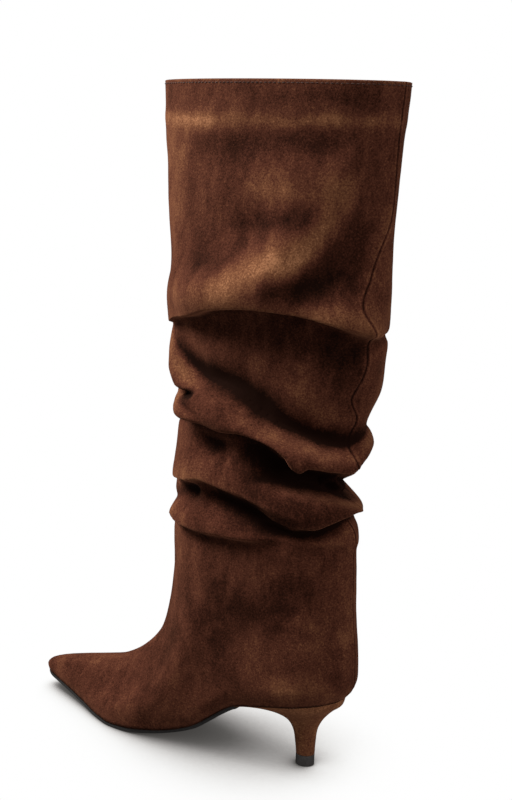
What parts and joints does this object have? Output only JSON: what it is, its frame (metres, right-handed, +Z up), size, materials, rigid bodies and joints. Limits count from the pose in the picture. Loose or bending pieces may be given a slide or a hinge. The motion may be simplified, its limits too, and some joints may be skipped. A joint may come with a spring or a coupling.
{
  "type": "knee-high slouch boot",
  "caption": "Left knee-high suede boot with a pointed toe, a low covered heel and a tall shaft pushed down into soft folds, open at the collar.",
  "frame": {"origin": "on the floor, at the centre of the heel tip's flat bottom face", "axes": "+X forward to the toe, +Y to the outer side of this left boot, +Z up along the shaft"},
  "size_m": [0.2833, 0.1037, 0.453],
  "materials": {
    "suede": "brown napped suede",
    "sole_rubber": "matt black rubber",
    "sock": "smooth tan lining leather"
  },
  "bodies": {
    "root": {"upper": "suede", "insole": "sock", "outsole": "sole_rubber", "heel": "suede", "top_lift": "sole_rubber"}
  },
  "joints": []
}
